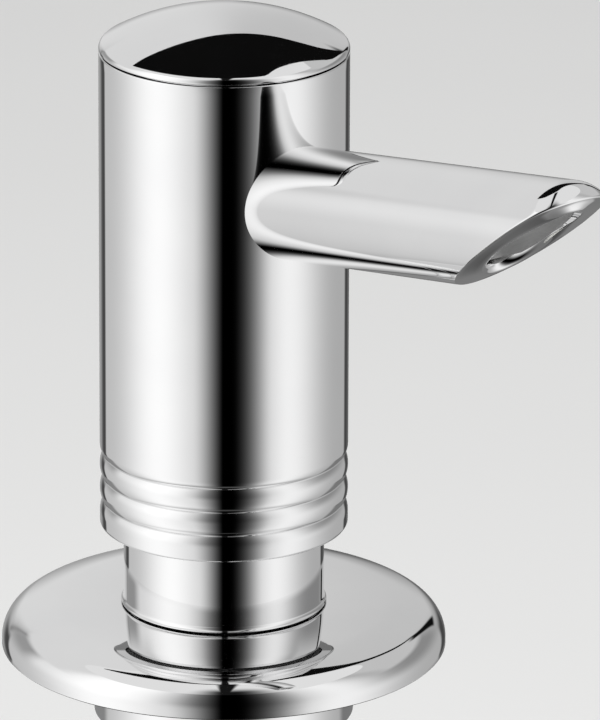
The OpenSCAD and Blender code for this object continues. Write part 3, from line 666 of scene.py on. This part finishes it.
# Soap bottle
def bottle_profile():
    """Bottle with a filleted neck, a ledge for its seal and a raised middle of its foot."""
    side_c = BOTTLE_R - FOOT_ROUND
    side_z = BOTTLE_FOOT + FOOT_ROUND
    shoulder_c = BOTTLE_R - SHOULDER_ROUND
    shoulder_z = SHOULDER_Z - SHOULDER_ROUND
    inner_top, inner_low = SHOULDER_Z - BOTTLE_WALL, BOTTLE_FOOT + BOTTLE_WALL
    inner_kick = KICK_R + BOTTLE_WALL
    profile = [(0, BOTTLE_FOOT + KICK_H), (KICK_R, BOTTLE_FOOT + KICK_H), (KICK_R + KICK_EDGE, BOTTLE_FOOT)]
    profile += arc(side_c, side_z, FOOT_ROUND, -90, 0, 16)
    profile += arc(shoulder_c, shoulder_z, SHOULDER_ROUND, 0, 90, 28)
    profile += arc(BOTTLE_NECK_R + NECK_FILLET, SHOULDER_Z + NECK_FILLET, NECK_FILLET, 270, 180, 8)
    profile += arc(BOTTLE_NECK_R - BOTTLE_LIP, BOTTLE_TOP - BOTTLE_LIP, BOTTLE_LIP, 0, 90, 5)
    profile += [(BOTTLE_NECK_IN, BOTTLE_TOP), (BOTTLE_NECK_IN, BOTTLE_LEDGE)]
    profile += [(THROAT_R, BOTTLE_LEDGE), (THROAT_R, inner_top)]
    profile += arc(shoulder_c, shoulder_z, SHOULDER_ROUND - BOTTLE_WALL, 90, 0, 28)
    profile += arc(side_c, side_z, FOOT_ROUND - BOTTLE_WALL, 0, -90, 16)
    return profile + [(inner_kick, inner_low), (inner_kick, inner_low + KICK_H), (0, inner_low + KICK_H)]


bottle = revolve("bottle", bottle_profile(), bottle_plastic, BOTTLE_TURNS)
dress(bottle, "base", "bottle_plastic", "soap_bottle")


# Return spring: a wire along a helix
def wire_ring(k):
    """Points around the wire at a step; the steps before the first and after the last run straight on."""
    step = min(max(k, 0), COIL_STEPS)
    a = 2 * math.pi * SPRING_TURNS * step / COIL_STEPS
    z = SPRING_LOW + WIRE_R + (SPRING_LEN - 2 * WIRE_R) * step / COIL_STEPS
    past = 2 * WIRE_R * (k - step)
    ring = []
    for i in range(WIRE_SIDES):
        b = 2 * math.pi * i / WIRE_SIDES
        r = COIL_R + WIRE_R * math.cos(b)
        x = r * math.cos(a) - past * math.sin(a)
        y = r * math.sin(a) + past * math.cos(a)
        ring.append((x, y, z + WIRE_R * math.sin(b)))
    return ring


verts = [point for k in range(-1, COIL_STEPS + 2) for point in wire_ring(k)]
faces = ring_faces(COIL_STEPS + 3, WIRE_SIDES, False) + end_faces(len(verts), WIRE_SIDES)
spring = dress(add_mesh("spring_wire", verts, faces, steel), "base", "steel", "return_spring")
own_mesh(spring)

# Camera
flat = Vector((math.sin(VIEW_AZ), -math.cos(VIEW_AZ), 0.0))
right = Vector((math.cos(VIEW_AZ), math.sin(VIEW_AZ), 0.0))
back = flat * math.cos(VIEW_EL) + Vector((0, 0, math.sin(VIEW_EL)))
up = back.cross(right)
cam_x = right * math.cos(VIEW_ROLL) + up * math.sin(VIEW_ROLL)
cam_y = up * math.cos(VIEW_ROLL) - right * math.sin(VIEW_ROLL)
camera = bpy.data.objects.new("camera", bpy.data.cameras.new("camera"))
scene.collection.objects.link(camera)
camera.data.lens = VIEW_LENS
camera.data.sensor_width = VIEW_SENSOR
camera.data.clip_end = VIEW_FAR
pose = Matrix((cam_x, cam_y, back)).transposed().to_4x4()
pose.translation = VIEW_TARGET + back * VIEW_DIST
camera.matrix_world = pose
scene.camera = camera

# Stage: floor under the bottle
FLOOR_R = 6.0
FLOOR_GAP = 0.0003
FLOOR_GRAIN = 3.0
FLOOR_ROUGH = 0.9
FLOOR_GLOSS = 0.1
FLOOR_DARK = (0.74, 0.74, 0.735)
FLOOR_LIGHT = (0.77, 0.77, 0.765)
floor_z = BOTTLE_FOOT * MM - FLOOR_GAP
bm = bmesh.new()
bmesh.ops.create_circle(bm, cap_ends=True, segments=96, radius=FLOOR_R)
mesh = bpy.data.meshes.new("floor")
bm.to_mesh(mesh)
bm.free()
floor = bpy.data.objects.new("floor", mesh)
floor.location = (0, 0, floor_z)
scene.collection.objects.link(floor)
mat, tree, bsdf = new_material("pale_floor")
floor_tone = two_tone(tree, noise(tree, FLOOR_GRAIN), FLOOR_DARK, FLOOR_LIGHT)
tree.links.new(floor_tone, bsdf.inputs["Base Color"])
bsdf.inputs["Roughness"].default_value = FLOOR_ROUGH
bsdf.inputs["Specular IOR Level"].default_value = FLOOR_GLOSS
mesh.materials.append(mat)
floor.visible_glossy = False

# Stage: a light tent that only reflections see
# Angles are in degrees from the camera's side, positive to the right; levels are strengths
TENT_R = 0.5
TENT_TOP = 0.62
TENT_LIFT = 0.0001
TENT_COLS = 480
WALL_ROWS = 120
END_ROWS = 60
TENT_GAIN = 1.08
BOX_ANGLE = 62
POST_ANGLE = 152
BACK_LEVEL = 0.63
CEILING_LEVEL = 0.78
# Glow of the tent floor at the object's foot, part of the painted shadow there
NEAR_SHADOW_LEVEL = 0.5
NEAR_BLACK = 0.99


def smooth(a, b, x):
    """Goes softly from 0 at a to 1 at b."""
    t = clamp((x - a) / (b - a))
    return t * t * (3 - 2 * t)


def lobe(x, centre, width):
    """A soft hump of height 1."""
    return math.exp(-((x - centre) / width) ** 2)


def flag(angle):
    """Black cloth around the camera."""
    return smooth(-29, 0, angle) * (1 - smooth(4, 46, angle) ** 2)


def left_box(angle):
    """Levels of the left soft box near the ground and high up."""
    low = 0.52 + 0.53 * lobe(angle, -BOX_ANGLE, 38)
    broad = smooth(10, 45, -angle) * (1 - smooth(108, 126, -angle))
    return low, 0.32 + 0.44 * broad + 0.38 * lobe(angle, -64, 30)


def right_box(angle):
    """Levels of the right soft box near the ground and high up."""
    low = 0.42 + 0.52 * lobe(angle, BOX_ANGLE, 27 if angle < BOX_ANGLE else 34)
    return low, 0.26 + 0.67 * lobe(angle, BOX_ANGLE, 27 if angle < BOX_ANGLE else 26)


def side_light(angle, height):
    """Soft boxes at both sides; height goes from 0 near the ground, where all is lighter, to 1."""
    low, high = left_box(angle) if angle < 0 else right_box(angle)
    return (low + (high - low) * height) * (1 - flag(angle))


def stripe(angle):
    """Dark edges of the backdrop at both sides, near the ground."""
    if angle < 0:
        return 0.88 * smooth(138.5, 142.5, -angle) * (1 - 0.6 * smooth(147, 161, -angle))
    return 0.86 * smooth(145, 151, angle) * (1 - 0.2 * smooth(157, 163, angle))


def back_light(angle):
    """Level of the tent behind the object, a little lighter to the left."""
    return BACK_LEVEL - 0.08 * math.tanh(math.sin(math.radians(angle)) * TENT_R / 0.05)


def dark_post(angle, z):
    """A dark post behind the object, wider towards its top."""
    half = 3.5 + 2.5 * smooth(0.25, 0.35, z)
    across = 1 - smooth(half - 1.2, half + 1.2, abs(angle - POST_ANGLE))
    return across * smooth(0.06, 0.1, z) * (1 - smooth(0.28, 0.33, z))


def wall_glow(angle, z):
    """Tent wall: the soft boxes below, a plain light back above, the backdrop's edges and a dark post."""
    aside = abs(angle)
    high = smooth(-0.05, 0.05, z)
    edge = max(stripe(angle) * (1 - high), 0.5 * lobe(angle, -146, 2.5) * high)
    level = side_light(angle, smooth(-0.06, 0.14, z)) * (1 - edge)
    behind = smooth(138, 162, aside) * smooth(0.0, 0.12, z)
    above = smooth(85, 105, aside) * smooth(0.2, 0.28, z)
    level += (back_light(angle) - level) * max(behind, above)
    return level * (1 - NEAR_BLACK * dark_post(angle, z))


def ceiling_glow(angle, r):
    """Tent ceiling: light, with a dark strip from the panel to the camera's flag."""
    behind = -r * math.cos(math.radians(angle))
    across = r * math.sin(math.radians(angle))
    strip = (1 - smooth(0.02, 0.035, abs(across - 0.01))) * (1 - smooth(0.1, 0.15, behind))
    return CEILING_LEVEL * (1 - NEAR_BLACK * max(strip, flag(angle) * smooth(0.1, 0.35, r)))


def floor_glow(angle, r):
    """Tent floor: darker close to the object, where the object's shadow is painted in, and darker behind it.
    """
    mix = smooth(0.05, 0.2, r)
    # Painted shadow: the floor's glow falls off close to the object
    near = 0.35 + 0.65 * smooth(0.1, 0.25, r)
    behind = 1 - 0.55 * smooth(122, 134, abs(angle))
    return (NEAR_SHADOW_LEVEL * (1 - mix) + side_light(angle, 0.0) * mix) * near * behind


def direction(angle):
    """Direction at an angle from the camera's side, level with the floor."""
    rad = math.radians(angle)
    return flat * math.cos(rad) + right * math.sin(rad)


tent_floor = floor_z + TENT_LIFT
tent_rise = TENT_TOP - tent_floor
tent_rows = [(floor_glow, TENT_R * i / END_ROWS, tent_floor) for i in range(1, END_ROWS)]
tent_rows += [(wall_glow, TENT_R, tent_floor + tent_rise * i / WALL_ROWS) for i in range(WALL_ROWS + 1)]
tent_rows += [(ceiling_glow, TENT_R * i / END_ROWS, TENT_TOP) for i in range(END_ROWS - 1, 0, -1)]
verts, glow = [], []
for shade, r, z in tent_rows:
    for i in range(TENT_COLS):
        angle = -180 + 360 * i / TENT_COLS
        spot = direction(angle) * r
        verts.append((spot.x, spot.y, z))
        glow.append(shade(angle, z if shade is wall_glow else r))
faces = ring_faces(len(tent_rows), TENT_COLS, False) + end_faces(len(verts), TENT_COLS)
mesh = bpy.data.meshes.new("light_tent")
mesh.from_pydata(verts, [], faces)
layer = mesh.attributes.new("glow", "FLOAT", "POINT")
layer.data.foreach_set("value", [TENT_GAIN * level for level in glow])


def add_glow(name, mesh, level):
    """Puts up a sheet that shines at a level, or at its own glow, and that only reflections see."""
    mat = bpy.data.materials.new(name)
    mat.use_nodes = True
    tree = mat.node_tree
    tree.nodes.clear()
    emit = tree.nodes.new("ShaderNodeEmission")
    out = tree.nodes.new("ShaderNodeOutputMaterial")
    tree.links.new(emit.outputs["Emission"], out.inputs["Surface"])
    if level is None:
        read = tree.nodes.new("ShaderNodeAttribute")
        read.attribute_name = "glow"
        tree.links.new(read.outputs["Fac"], emit.inputs["Strength"])
    else:
        emit.inputs["Strength"].default_value = level
    mesh.materials.append(mat)
    sheet = bpy.data.objects.new(name, mesh)
    scene.collection.objects.link(sheet)
    sheet.visible_camera = False
    sheet.visible_diffuse = False
    sheet.visible_shadow = False
    sheet.visible_transmission = False


def soften(outline):
    """Cuts every corner of an outline, which rounds it when it is done a few times."""
    cut = []
    for a, b in zip(outline, outline[1:] + outline[:1]):
        cut += [a.lerp(b, 0.25), a.lerp(b, 0.75)]
    return cut


add_glow("light_tent", mesh, None)

# Stage: a black panel above and behind the object; its outline is distances behind and to the right
PANEL_Z = 0.241
PANEL_LEVEL = 0.004
PANEL_ROUNDS = 3
PANEL = ((0.125, -0.12), (0.13, -0.05), (0.155, 0.0), (0.18, 0.05), (0.2, 0.09),
         (0.25, 0.13), (0.4, 0.185), (0.27, 0.17), (0.155, 0.115), (0.09, 0.075),
         (0.05, 0.05), (0.0, 0.035), (-0.005, -0.025), (0.04, -0.07), (0.095, -0.105))
outline = [flat * -behind + right * aside for behind, aside in PANEL]
for _ in range(PANEL_ROUNDS):
    outline = soften(outline)
mesh = bpy.data.meshes.new("dark_panel")
mesh.from_pydata([(p.x, p.y, PANEL_Z) for p in outline], [], [tuple(range(len(outline)))])
add_glow("dark_panel", mesh, PANEL_LEVEL)

# Lamps for all that isn't mirror-bright: name, angle, height, distance, size and power
LAMPS = (("lamp_left", -65, 0.75, 1.1, 0.9, 9.0),
         ("lamp_right", 70, 0.7, 1.1, 0.8, 7.0),
         ("lamp_top", 180, 1.3, 0.3, 1.0, 8.0))
LAMP_AIM = Vector((0, 0, -0.03))
for name, angle, height, reach, size, power in LAMPS:
    lamp = bpy.data.objects.new(name, bpy.data.lights.new(name, "AREA"))
    lamp.data.size = size
    lamp.data.energy = power
    lamp.location = direction(angle) * reach + Vector((0, 0, height))
    lamp.rotation_euler = (lamp.location - LAMP_AIM).to_track_quat("Z", "Y").to_euler()
    lamp.visible_glossy = False
    lamp.visible_camera = False
    scene.collection.objects.link(lamp)

# World: pale towards the camera, a level fill for the rest
SKY_FILL = 0.45
SKY_SEEN = 0.9
world = bpy.data.worlds.new("studio")
scene.world = world
world.use_nodes = True
tree = world.node_tree
sky = tree.nodes["Background"]
path = tree.nodes.new("ShaderNodeLightPath")
seen = tree.nodes.new("ShaderNodeMapRange")
seen.inputs["To Min"].default_value = SKY_FILL
seen.inputs["To Max"].default_value = SKY_SEEN
tree.links.new(path.outputs["Is Camera Ray"], seen.inputs["Value"])
tree.links.new(seen.outputs["Result"], sky.inputs["Strength"])
sky.inputs["Color"].default_value = (1, 1, 1, 1)

scene.view_settings.view_transform = "Standard"
